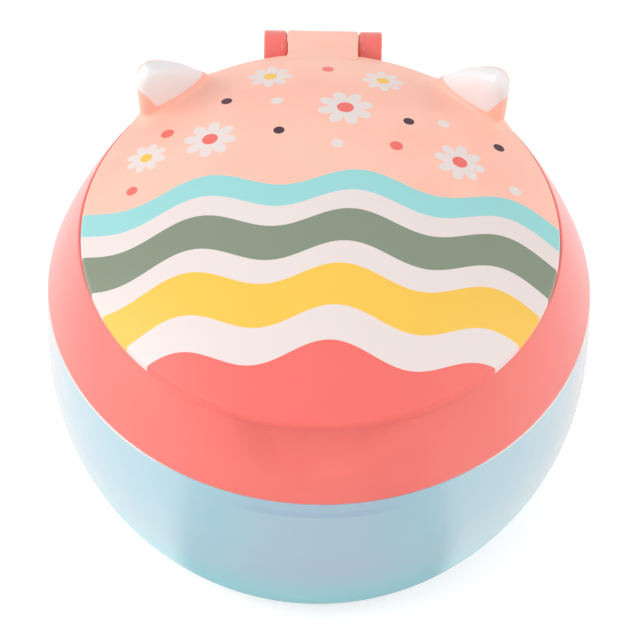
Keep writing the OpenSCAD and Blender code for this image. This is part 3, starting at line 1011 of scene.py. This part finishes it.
@dataclass
class Collar:
    """The coral collar: its side with the thumb scoop, its deck and its hinge lugs."""

    finishes: Finishes
    hinge: Hinge
    foot_r: float = 54.0
    rim_r: float = 47.1
    foot_z: float = 56.6
    rim_z: float = 72.6
    rim_drop: float = 1.6
    bulge: float = 0.4
    wall: float = 2.1
    rim_wall: float = 1.4
    deck_z: float = 66.42
    deck_top: float = 68.52
    ledge_top: float = 67.82
    mouth_r: float = 39.5
    mouth_wall: float = 1.8
    mouth_h: float = 2.4
    ledge_w: float = 1.9
    bore_r: float = 47.0
    skirt_r: float = 48.6
    thread_r: float = 45.95
    core_top: float = 61.0
    scoop_r: float = 10.5
    scoop_half_w: float = 16.5
    scoop_wall: float = 0.7
    scoop_low: float = 12.5
    scoop_soft: float = 1.6
    scoop_ease: float = 7.0
    scoop_top: float = 0.1
    lead: float = 8.0
    thread_z: float = 58.2
    thread_sweep: float = 80.0
    turn_from: float = 0.4
    skin: float = 0.55

    def side_r(self, height: float) -> float:
        """Radius of the collar's outer side, which bulges a little from foot to rim.

        Args:
            height: Height above the floor.

        Returns:
            The radius there.
        """
        dr, dz = self.foot_r - self.rim_r, self.rim_z - self.foot_z
        chord = math.hypot(dr, dz)
        curve = (chord**2 / 4 + self.bulge**2) / (2 * self.bulge)
        away = curve - self.bulge
        mid_r, mid_z = (self.foot_r + self.rim_r) / 2, (self.foot_z + self.rim_z) / 2
        centre_r, centre_z = mid_r - away * dz / chord, mid_z - away * dr / chord
        return centre_r + math.sqrt(curve**2 - (height - centre_z) ** 2)

    def drop(self, back: float) -> float:
        """How far the rim lies below its front, at a place front to back."""
        return self.rim_drop * max(0.0, back + self.rim_r) / (2 * self.rim_r)

    def scoop_depth(self, across: float, height: float) -> float:
        """Depth of the thumb scoop, an upright groove that fades out downwards and sideways.

        Args:
            across: How far to the side of the front's middle.
            height: Height above the floor.

        Returns:
            How far the side is pressed in there.
        """
        below = self.rim_z - self.scoop_top - height
        if below > self.scoop_low:
            return 0.0
        groove_r = self.rim_r - self.rim_wall + self.scoop_wall + self.scoop_r
        groove = groove_r - math.sqrt(max(0.0, self.scoop_r**2 - below**2))
        depth = self.side_r(height) - groove
        soft = (depth + math.sqrt(depth**2 + self.scoop_soft)) / 2
        half_w = self.scoop_half_w * math.sqrt(max(0.0, 1 - (below / self.scoop_low) ** 2))
        return soft * ease(half_w - abs(across), 0, self.scoop_ease)

    def shape(self, bm: BMesh) -> None:
        """Tilts the rim, hollows the thumb scoop and makes room for the lid's knuckle.

        Args:
            bm: The collar's round mesh.
        """
        inside = self.rim_r - self.rim_wall
        low, high = self.deck_top + self.turn_from, self.rim_z - self.turn_from
        relief_r = self.hinge.barrel_r + self.hinge.relief
        for vert in bm.verts:
            radius = math.hypot(vert.co.x, vert.co.y)
            height = vert.co.z
            if radius < inside - 0.1:
                continue
            outer = radius > self.side_r(height) - self.skin * self.rim_wall
            if height > low:
                vert.co.z = height - self.drop(vert.co.y) * ease(height, low, high)
                if outer:
                    radius += self.side_r(vert.co.z) - self.side_r(height)
                    set_radius(vert, radius)
            if outer and vert.co.y < 0 and abs(vert.co.x) < self.scoop_half_w:
                set_radius(vert, radius - self.scoop_depth(vert.co.x, vert.co.z))
            if outer and vert.co.y > 0 and abs(vert.co.x) < self.hinge.lug_x + self.hinge.relief_past:
                up = vert.co.z - self.hinge.up
                if abs(up) < relief_r:
                    vert.co.y = min(vert.co.y, self.hinge.back - math.sqrt(relief_r**2 - up**2))

    def lug(self, bm: BMesh, side: int) -> None:
        """Adds one hinge lug, with the gusset that carries it and a boss on its inner face.

        Args:
            bm: Mesh to add to.
            side: -1 for the left lug, 1 for the right one.
        """
        hinge, root = self.hinge, self.rim_r - self.hinge.lug_sink
        outline = ([(root, hinge.up - hinge.lug_low)]
                   + arc((hinge.back, hinge.up), hinge.barrel_r, -50, 100, 14)
                   + [(self.rim_r, hinge.up + hinge.lug_top), (root, hinge.up + hinge.lug_in)])
        near = side * hinge.lug_x
        slab(bm, [Vector((near, y, z)) for y, z in outline], Vector((side * hinge.lug_w, 0, 0)))
        boss = arc((hinge.back, hinge.up), hinge.boss_r, 0, 360, 40)[:-1]
        face_x = side * (hinge.across / 2 + hinge.boss_gap)
        slab(bm, [Vector((face_x, y, z)) for y, z in boss],
             Vector((near + side * hinge.boss_sink - face_x, 0, 0)))

    def build(self) -> None:
        """Makes the collar and its two lugs."""
        rows = 26
        heights = [self.foot_z + (self.rim_z - self.foot_z) * i / rows for i in range(1, rows)]
        inside = self.rim_r - self.rim_wall
        core_r = self.side_r(self.core_top) - self.wall
        outline = (
            [(self.foot_r, self.foot_z, 0.1)]
            + [(self.side_r(z), z) for z in heights]
            + [(self.rim_r, self.rim_z, 0.45), (inside, self.rim_z, 0.35),
               (inside, self.deck_top, 0.6), (self.mouth_r + self.mouth_wall, self.deck_top, 0.6),
               (self.mouth_r + self.mouth_wall, self.deck_top + self.mouth_h, 0.6),
               (self.mouth_r, self.deck_top + self.mouth_h, 0.4),
               (self.mouth_r, self.ledge_top, 0.2),
               (self.mouth_r - self.ledge_w, self.ledge_top, 0.2),
               (self.mouth_r - self.ledge_w, self.deck_z, 0.3), (self.bore_r, self.deck_z, 0.3),
               (self.bore_r, self.foot_z, 0.4), (self.skirt_r, self.foot_z, 0.4),
               (self.skirt_r, self.core_top, 0.6), (core_r, self.core_top, 0.6),
               (self.foot_r - self.wall, self.foot_z, 0.2)])
        bm = bmesh.new()
        lathe(bm, rounded(outline), 384)
        self.shape(bm)
        for start in (70, 250):
            screw_ridge(bm, self.bore_r, self.thread_r, self.thread_z, start, self.thread_sweep,
                        self.lead)
        piece(bm, "collar_shell", Body.COLLAR, [self.finishes.collar], ["collar"])
        for side, name in ((-1, "hinge_lug_left"), (1, "hinge_lug_right")):
            bm = bmesh.new()
            self.lug(bm, side)
            round_edges(bm, 0.35)
            piece(bm, name, Body.COLLAR, [self.finishes.collar])


# ---------------------------------------------------------------- the flaps


@dataclass
class Flaps:
    """The soft ring in the collar's mouth and the eight flaps that bend from it."""

    finishes: Finishes
    count: int = 8
    reach: float = 32.4
    thickness: float = 1.2
    slit_w: float = 0.8
    slit_end_r: float = 1.6
    tip_hole_r: float = 2.6
    ring_z: float = 67.94
    ring_h: float = 2.4
    ring_in_r: float = 36.03
    seat_r: float = 39.38
    throat_r: float = 37.48
    bead_r: float = 38.1
    flap_z: float = 68.94
    under_z: float = 66.3
    bead_h: float = 0.45
    root_in: float = 0.35
    root_short: float = 1.1
    slit_from: float = -37.0
    side_at: tuple[float, ...] = (24.0, 16.0, 9.0)
    tip_turn: float = 10.0
    sag: float = 0.9
    sag_from: float = 2.0
    soft: float = 0.35
    bend: float = 1.6
    fold_steps: int = 8
    cuts: tuple[float, ...] = (4.0, 8.0, 12.0, 16.0, 20.0, 24.0, 27.0, 29.0)

    def build(self) -> None:
        """Makes the ring and the flaps."""
        top = self.ring_z + self.ring_h
        outline = [(self.ring_in_r, self.under_z - self.bead_h, 0.3),
                   (self.bead_r, self.under_z - self.bead_h, 0.25),
                   (self.bead_r, self.under_z, 0.15),
                   (self.throat_r, self.under_z), (self.throat_r, self.ring_z),
                   (self.seat_r, self.ring_z, 0.15), (self.seat_r, top, 0.8),
                   (self.ring_in_r, top, 1.1)]
        bm = bmesh.new()
        lathe(bm, rounded(outline, 5), 192)
        piece(bm, "flap_ring_soft", Body.COLLAR, [self.finishes.flaps], ["flap_ring"])
        for number in range(1, self.count + 1):
            self.flap(number)

    def outline(self) -> list[Point]:
        """One side of a flap that lies along +X, with half its root and half its tip.

        Returns:
            The points, from the middle of the root to the middle of the tip.
        """
        half = math.pi / self.count
        end = (self.reach, self.reach * math.tan(half))
        root_r, away = self.ring_in_r + self.root_in, math.hypot(*end)
        meet = math.acos((root_r**2 + away**2 - self.slit_end_r**2) / (2 * root_r * away))
        offset = self.slit_w / 2 / math.cos(half)
        leave = half - math.pi + math.asin(self.slit_w / 2 / self.slit_end_r)
        root = arc((0, 0), root_r, 0, math.degrees(half - meet) - self.root_short, 6)
        slit = arc(end, self.slit_end_r, self.slit_from, math.degrees(leave), 8)
        side = [(x, x * math.tan(half) - offset) for x in self.side_at]
        tip = arc((0, 0), self.tip_hole_r, math.degrees(half) - self.tip_turn, 0, 1)
        return root + slit + side + tip

    def flap(self, number: int) -> None:
        """Makes one flap, which sags a little towards its tip and is cut across more finely where it leaves
        the ring.

        Args:
            number: Which flap, from 1.
        """
        half = self.outline()
        around = half + [(x, -y) for x, y in half[::-1][1:-1]]
        bm = bmesh.new()
        slab(bm, [Vector((x, y, self.flap_z)) for x, y in around], Vector((0, 0, self.thickness)))
        bmesh.ops.remove_doubles(bm, verts=bm.verts, dist=MERGE)
        round_edges(bm, self.soft)
        folds = [self.reach + self.bend * (2 * k / self.fold_steps - 1) for k in range(self.fold_steps + 1)]
        for cut in (*self.cuts, *folds):
            bmesh.ops.bisect_plane(bm, geom=bm.verts[:] + bm.edges[:] + bm.faces[:], dist=MERGE,
                                   plane_co=(cut, 0, 0), plane_no=(1, 0, 0))
        for vert in bm.verts:
            vert.co.z -= self.sag * (1 - ease(vert.co.x, self.sag_from, self.reach + self.bend))
        turn = (number - 0.5) * math.tau / self.count
        bmesh.ops.rotate(bm, verts=bm.verts, cent=(0, 0, 0), matrix=Matrix.Rotation(turn, 3, "Z"))
        made = piece(bm, f"flap_{number}_soft", Body.COLLAR, [self.finishes.flaps],
                     [f"flap_{number}"], ride=False)
        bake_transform(made)


# ---------------------------------------------------------------- the lid


@dataclass
class Lid:
    """The domed lid: its shell and skirt, its ear tabs and its hinge knuckle."""

    finishes: Finishes
    hinge: Hinge
    collar: Collar
    radius: float = 46.9
    forward: float = 1.5
    slope: float = 34.0
    gap: float = 0.25
    edge_h: float = 1.1
    round_r: float = 1.2
    edge_w: float = 3.3
    wall: float = 2.0
    skirt_r: float = 44.8
    skirt_wall: float = 1.7
    skirt_z: float = 69.12
    skirt_top: float = 1.4
    skirt_lean: float = 0.65
    snap_bead: float = 0.5
    bead_up: float = 1.6
    bead_half: float = 0.9
    bead_span: Point = (6.0, 9.4)
    strap_in: float = 3.0
    strap_up: float = 0.5
    strap_steps: int = 12

    def __post_init__(self) -> None:
        """Works out the dome from the lid's edge."""
        self.edge_z = self.collar.rim_z + self.gap
        self.foot_z = self.edge_z + self.edge_h
        self.round_at = self.radius - self.round_r
        lean = math.radians(self.slope)
        self.dome_r = self.round_at / math.sin(lean) + self.round_r
        self.dome_z = self.foot_z - (self.dome_r - self.round_r) * math.cos(lean)

    def surface_z(self, across: float, back: float) -> float:
        """Height of the lid's outer surface.

        Args:
            across: How far to the side.
            back: How far to the back.

        Returns:
            The height there.
        """
        radius = math.hypot(across, back + self.forward)
        if radius < self.round_at + self.round_r * math.sin(math.radians(self.slope)):
            return self.dome_z + math.sqrt(self.dome_r**2 - radius**2)
        return self.foot_z + math.sqrt(max(0.0, self.round_r**2 - (radius - self.round_at) ** 2))

    def build(self) -> None:
        """Makes the shell, the ears and the knuckle."""
        self.shell()
        for side, name in ((-1, "ear_left"), (1, "ear_right")):
            Ear(self, side, name).build()
        self.knuckle()

    def shell(self) -> None:
        """Makes the dome with its edge, printed on its outside, and the skirt inside it."""
        outside = arc((0, self.dome_z), self.dome_r, 90, 90 - self.slope, 44)
        edge = arc((self.round_at, self.foot_z), self.round_r, 90 - self.slope, 0, 6)[1:]
        in_r, in_edge = self.dome_r - self.wall, self.radius - self.edge_w
        start = math.degrees(math.acos(in_edge / in_r))
        inside = arc((0, self.dome_z), in_r, start, 90, 40)
        outline = [*outside, *edge, (self.radius, self.edge_z, 0.35), (in_edge, self.edge_z, 0.3), *inside]
        upward, edge_skin = 0.2, 0.5
        bm = bmesh.new()
        lathe(bm, rounded(outline), 288, self.forward)
        for vert in bm.verts:
            if vert.co.z < self.foot_z - 0.01:
                share = (self.foot_z - vert.co.z) / self.edge_h
                vert.co.z -= self.collar.drop(vert.co.y) * share
        bmesh.ops.recalc_face_normals(bm, faces=bm.faces)
        for face in bm.faces:
            middle = face.calc_center_median()
            at_edge = math.hypot(middle.x, middle.y + self.forward) > self.radius - edge_skin
            face.material_index = 0 if face.normal.z > upward or at_edge else 1
        self.skirt(bm)
        piece(bm, "lid_shell", Body.LID, [self.finishes.printed_lid, self.finishes.lid], ["lid"])

    def skirt(self, bm: BMesh) -> None:
        """Adds the skirt, whose bead snaps under the rim at the front.

        Args:
            bm: The shell's mesh.
        """
        inner, top = self.skirt_r - self.skirt_wall, self.foot_z + self.skirt_top
        bead_z = self.skirt_z + self.bead_up
        outline = [(inner, self.skirt_z, 0.4), (self.skirt_r, self.skirt_z, 0.5),
                   (self.skirt_r, bead_z - self.bead_half), (self.skirt_r + 0.01, bead_z),
                   (self.skirt_r, bead_z + self.bead_half), (self.skirt_r, top),
                   (inner, top)]
        ring = bmesh.new()
        lathe(ring, rounded(outline), 192)
        for vert in ring.verts:
            on_bead = abs(vert.co.z - bead_z) < 0.1 and math.hypot(vert.co.x, vert.co.y) > self.skirt_r
            if vert.co.z > top - 0.05:
                vert.co.z -= self.skirt_lean * vert.co.y / self.skirt_r
            elif on_bead and vert.co.y < 0:
                out = self.snap_bead * (1 - ease(abs(vert.co.x), *self.bead_span))
                set_radius(vert, self.skirt_r + out)
        for face in ring.faces:
            face.material_index = 1
        extra = bpy.data.meshes.new("skirt")
        ring.to_mesh(extra)
        ring.free()
        bm.from_mesh(extra)
        bpy.data.meshes.remove(extra)

    def knuckle(self) -> None:
        """Makes the hinge knuckle with the strap that flows into it out of the dome."""
        hinge = self.hinge
        low = self.collar.rim_z - self.collar.rim_drop + self.gap + self.strap_up
        leave = Vector((self.radius - self.forward - self.strap_in, 0))
        leave.y = self.surface_z(0, leave.x)
        land = Vector((hinge.back, hinge.up + hinge.barrel_r))
        fall = math.tan(math.asin((leave.x + self.forward) / self.dome_r))
        turn = Vector((leave.x + (leave.y - land.y) / fall, land.y))
        barrel = arc((hinge.back, hinge.up), hinge.barrel_r, 165, 450, 26)
        strap = [(leave.x, low), *barrel]
        for k in range(1, self.strap_steps + 1):
            t = k / self.strap_steps
            strap.append(tuple(land.lerp(turn, t).lerp(turn.lerp(leave, t), t)))
        bm = bmesh.new()
        slab(bm, [Vector((-hinge.across / 2, y, z)) for y, z in strap], Vector((hinge.across, 0, 0)))
        round_edges(bm, 0.4, 60)
        piece(bm, "lid_knuckle", Body.LID, [self.finishes.lid])


@dataclass
class Ear:
    """One ear tab: slices from a flared foot on the dome up to a round tip.

    The rows of numbers run from foot to tip: heights, distances along the ear to its outer and
    inner ends, half thicknesses, and how far it leans out.
    """

    lid: Lid
    side: int
    name: str
    angle: float = math.radians(48.0)
    plane: float = 42.4
    heights: tuple[float, ...] = (80.3, 82.4, 84.9, 87.3, 89.1, 90.4, 91.2)
    outer: tuple[float, ...] = (-10.1, -10.3, -10.5, -10.6, -10.5, -9.8, -8.9)
    inner: tuple[float, ...] = (6.1, 4.0, 1.5, -1.1, -3.3, -5.4, -7.2)
    half_t: tuple[float, ...] = (2.55, 2.5, 2.45, 2.4, 2.25, 1.9, 1.2)
    lean: tuple[float, ...] = (0.0, 0.0, 0.0, 0.0, 0.1, 0.15, 0.2)
    foot_out: float = -9.9
    foot_in: float = 8.4
    flare: float = 6.0
    flare_along: float = 0.6
    flare_bend: float = 1.9
    flare_steps: int = 12
    rise: float = 3.0
    sink: float = 1.2
    overlap: float = 0.03
    edge_gap: float = 0.35
    points: int = 72
    steps: int = 26
    step_bend: float = 1.5
    settled: float = 0.45
    end_round: float = 0.85
    face_round: float = 0.8
    cap: tuple[Point, ...] = ((0.75, 0.22), (0.4, 0.36))

    def slice_at(self, bm: BMesh, ends: Point, thick: float, shift: float, grow: float,
                 level: Callable[[float, float], float]) -> Loop:
        """Adds one slice of the ear, a rounded oblong that stays on the lid.

        Args:
            bm: Mesh to add to.
            ends: Distances along the ear to its outer and inner ends.
            thick: Its half thickness.
            shift: How far it leans out.
            grow: How far it flares past its size.
            level: Its height at a place across and back.

        Returns:
            Its loop of edges.
        """
        middle, half = (ends[0] + ends[1]) / 2, (ends[1] - ends[0]) / 2 + self.flare_along * grow
        cos, sin, forward = math.cos(self.angle), math.sin(self.angle), self.lid.forward
        places = []
        for k in range(self.points):
            c, s = math.cos(math.tau * k / self.points), math.sin(math.tau * k / self.points)
            along = middle + half * math.copysign(abs(c) ** self.end_round, c)
            out = self.plane + shift + (thick + grow) * math.copysign(abs(s) ** self.face_round, s)
            x, y = out * cos - along * sin, out * sin + along * cos
            away, limit = math.hypot(x, y + forward), self.lid.radius - self.edge_gap
            if away > limit:
                x, y = x * limit / away, (y + forward) * limit / away - forward
            places.append(Vector((self.side * x, y, level(x, y))))
        return loop_of(bm, places)

    def over(self, height: float) -> Callable[[float, float], float]:
        """A level that follows the dome at a height above it."""
        return lambda x, y: self.lid.surface_z(x, y) + height

    def foot(self, bm: BMesh) -> list[Loop]:
        """Adds the slices of the foot, which narrow as they leave the dome.

        Args:
            bm: Mesh to add to.

        Returns:
            Each slice's loop of edges, upwards.
        """
        thick, ends = self.half_t[0], (self.foot_out, self.foot_in)
        rings = [self.slice_at(bm, ends, thick, 0, self.flare, self.over(-self.sink))]
        for k in range(self.flare_steps):
            share = k / self.flare_steps
            ends = (self.foot_out, self.foot_in + (self.inner[0] - self.foot_in) * share)
            grow = self.flare * (1 - share) ** self.flare_bend
            rise = self.rise * share**self.flare_bend - self.overlap
            rings.append(self.slice_at(bm, ends, thick, 0, grow, self.over(rise)))
        return rings

    def blade(self, bm: BMesh) -> list[Loop]:
        """Adds the slices above the foot, which turn from the dome's slope to level.

        Args:
            bm: Mesh to add to.

        Returns:
            Each slice's loop of edges, upwards.
        """
        rings = []
        for k in range(self.steps + 1):
            share = 1 - (1 - k / self.steps) ** self.step_bend
            height, settle = through(self.heights, share), ease(share, 0.0, self.settled)
            slope = self.over(self.rise + height - self.heights[0])
            ends = (through(self.outer, share), through(self.inner, share))
            rings.append(self.slice_at(
                bm, ends, through(self.half_t, share), through(self.lean, share), 0,
                lambda x, y: height * settle + slope(x, y) * (1 - settle)))
        return rings

    def tip(self, bm: BMesh) -> list[Loop]:
        """Adds ever smaller level slices over the top.

        Args:
            bm: Mesh to add to.

        Returns:
            Each slice's loop of edges, upwards.
        """
        low, high, rings = self.outer[-1], self.inner[-1], []
        middle = (low + high) / 2
        for share, rise in self.cap:
            ends = (middle + (low - middle) * share, middle + (high - middle) * share)
            rings.append(self.slice_at(bm, ends, self.half_t[-1] * share, self.lean[-1], 0,
                                       lambda x, y: self.heights[-1] + rise))
        return rings

    def build(self) -> None:
        """Joins the slices to make the ear."""
        bm = bmesh.new()
        rings = self.foot(bm) + self.blade(bm) + self.tip(bm)
        for one, two in zip(rings, rings[1:]):
            bmesh.ops.bridge_loops(bm, edges=one + two)
        bmesh.ops.holes_fill(bm, edges=[e for e in bm.edges if e.is_boundary], sides=0)
        piece(bm, self.name, Body.LID, [self.lid.finishes.ear])


# ---------------------------------------------------------------- the studio


@dataclass(frozen=True)
class Lamp:
    """A soft round lamp that faces the container."""

    name: str
    place: tuple[float, float, float]
    power: float
    size: float = 1.5
    aim: tuple[float, float, float] = (0.0, 0.0, 0.05)


@dataclass
class Studio:
    """The pale floor, the soft lights and the camera at the photograph's angle.

    Distances are in metres, but the floor's gap and the reach of its dark patch in millimetres.
    """

    elevation: float = 52.02
    yaw: float = 0.5
    distance: float = 0.864
    aim_up: float = 0.045
    roll: float = 1.417
    lens: float = 241.34
    sensor: float = 36.0
    centre_px: float = 318.32
    image_px: float = 640.0
    floor_size: float = 6.0
    floor_gap: float = 0.05
    floor_glow: float = 0.43
    paper: Colour = (0.9, 0.73, 0.71, 1.0)
    dark_reflection_paper: Colour = (0.45, 0.45, 0.45, 1.0)
    dark_angle: float = 40.0
    dark_soft: float = 5.0
    dark_reach: float = 125.0
    dark_fade: float = 1.3
    mirrored: float = 0.7
    world_light: float = 0.77
    lights: tuple[Lamp, ...] = (Lamp("left_panel", (-1.4, -0.35, 0.8), 15.0),
                                Lamp("right_panel", (1.4, -0.35, 0.8), 8.0))

    def build(self) -> None:
        """Makes the camera, the floor, the lights and the world."""
        self.camera()
        self.floor()
        self.lamps()
        self.world()
        bpy.context.scene.view_settings.view_transform = "Standard"

    def camera(self) -> None:
        """Makes the camera."""
        data = bpy.data.cameras.new("camera")
        data.lens, data.sensor_width = self.lens, self.sensor
        data.shift_x = (self.image_px / 2 - self.centre_px) / self.image_px
        data.clip_start, data.clip_end = 0.01, 20.0
        camera = bpy.data.objects.new("camera", data)
        lean = math.radians(self.elevation)
        away = Vector((0, -math.cos(lean), math.sin(lean)))
        away.rotate(Matrix.Rotation(-math.radians(self.yaw), 3, "Z"))
        aim = Vector((0, 0, self.aim_up))
        turn = (-away).to_track_quat("-Z", "Y").to_matrix().to_4x4()
        camera.matrix_world = (Matrix.Translation(aim + away * self.distance) @ turn
                               @ Matrix.Rotation(math.radians(self.roll), 4, "Z"))
        bpy.context.scene.collection.objects.link(camera)
        bpy.context.scene.camera = camera

    def floor(self) -> None:
        """Makes the floor, pale to the camera and with the container's shadow on it."""
        bm = bmesh.new()
        bmesh.ops.create_grid(bm, x_segments=1, y_segments=1, size=self.floor_size / 2)
        mesh = bpy.data.meshes.new("floor")
        bm.to_mesh(mesh)
        bm.free()
        floor = bpy.data.objects.new("floor", mesh)
        floor.location.z = -self.floor_gap * MM
        bpy.context.scene.collection.objects.link(floor)
        mesh.materials.append(self.floor_paper())

    def floor_paper(self) -> bpy.types.Material:
        """Builds the floor's paper, whose glow whitens it for the camera, and whose glow in glossy rays at
        the sides paints bright reflections on the container.

        A patch in front of the container is darker, but only in reflections: a painted dark reflection in
        the container's front.

        Returns:
            The material.
        """
        material, graph = new_material("floor_paper")
        path = graph.add("ShaderNodeLightPath").outputs
        place = graph.position()
        across, back, _ = graph.axes(place)
        side = graph.math("ARCTAN2", graph.math("ABSOLUTE", across), graph.product(back, -1.0))
        at_side = graph.step(side, math.radians(self.dark_angle - self.dark_soft),
                             math.radians(self.dark_angle + self.dark_soft))
        # painted reflection: the floor glows in glossy rays only at the sides
        mirrored = graph.product(path["Is Glossy Ray"], at_side, self.mirrored)
        seen = graph.math("MAXIMUM", path["Is Camera Ray"], mirrored)
        away = graph.add("ShaderNodeVectorMath", {0: place}, operation="LENGTH").outputs["Value"]
        near = graph.step(away, self.dark_reach * self.dark_fade, self.dark_reach)
        # painted reflection: darker paper seen only in glossy rays, in front of the container
        dark = graph.product(path["Is Glossy Ray"], near, graph.math("SUBTRACT", 1.0, at_side))
        paper = graph.add("ShaderNodeBsdfDiffuse", {"Color": graph.mix(dark, self.paper, self.dark_reflection_paper)})
        glow = graph.add("ShaderNodeEmission", {"Strength": graph.product(seen, self.floor_glow)})
        both = graph.add("ShaderNodeAddShader", {0: paper.outputs[0], 1: glow.outputs[0]})
        graph.add("ShaderNodeOutputMaterial", {"Surface": both.outputs[0]})
        return material

    def lamps(self) -> None:
        """Makes the soft lamps."""
        for light in self.lights:
            data = bpy.data.lights.new(light.name, "AREA")
            data.shape, data.size, data.energy = "DISK", light.size, light.power
            lamp = bpy.data.objects.new(light.name, data)
            lamp.location = light.place
            facing = Vector(light.aim) - Vector(light.place)
            lamp.rotation_euler = facing.to_track_quat("-Z", "Y").to_euler()
            bpy.context.scene.collection.objects.link(lamp)

    def world(self) -> None:
        """Makes the even light from all round, white to the camera and through the bowl."""
        world = bpy.data.worlds.new("studio")
        world.use_nodes = True
        graph = Graph(world.node_tree)
        path = graph.add("ShaderNodeLightPath").outputs
        seen = graph.math("MAXIMUM", path["Is Camera Ray"], path["Is Transmission Ray"])
        strength = graph.math("MULTIPLY_ADD", seen, 1 - self.world_light, self.world_light)
        sky = graph.add("ShaderNodeBackground", {"Color": (1, 1, 1, 1), "Strength": strength})
        graph.add("ShaderNodeOutputWorld", {"Surface": sky.outputs[0]})
        bpy.context.scene.world = world


def dress_pin(finishes: Finishes) -> None:
    """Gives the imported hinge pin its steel.

    Args:
        finishes: The materials.
    """
    pin = frame["nodes"]["hinge_pin"]
    pin.data.materials.clear()
    pin.data.materials.append(finishes.pin)
    log.info("hinge_pin: packed node kept, with new steel")


def main() -> None:
    """Builds the studio and every piece of the container."""
    logging.basicConfig(level=logging.INFO, format="%(message)s")
    Studio().build()
    finishes = Finishes()
    hinge = Hinge()
    collar = Collar(finishes, hinge)
    Bowl(finishes).build()
    collar.build()
    Flaps(finishes).build()
    Lid(finishes, hinge, collar).build()
    dress_pin(finishes)


if __name__ == "__main__":
    main()
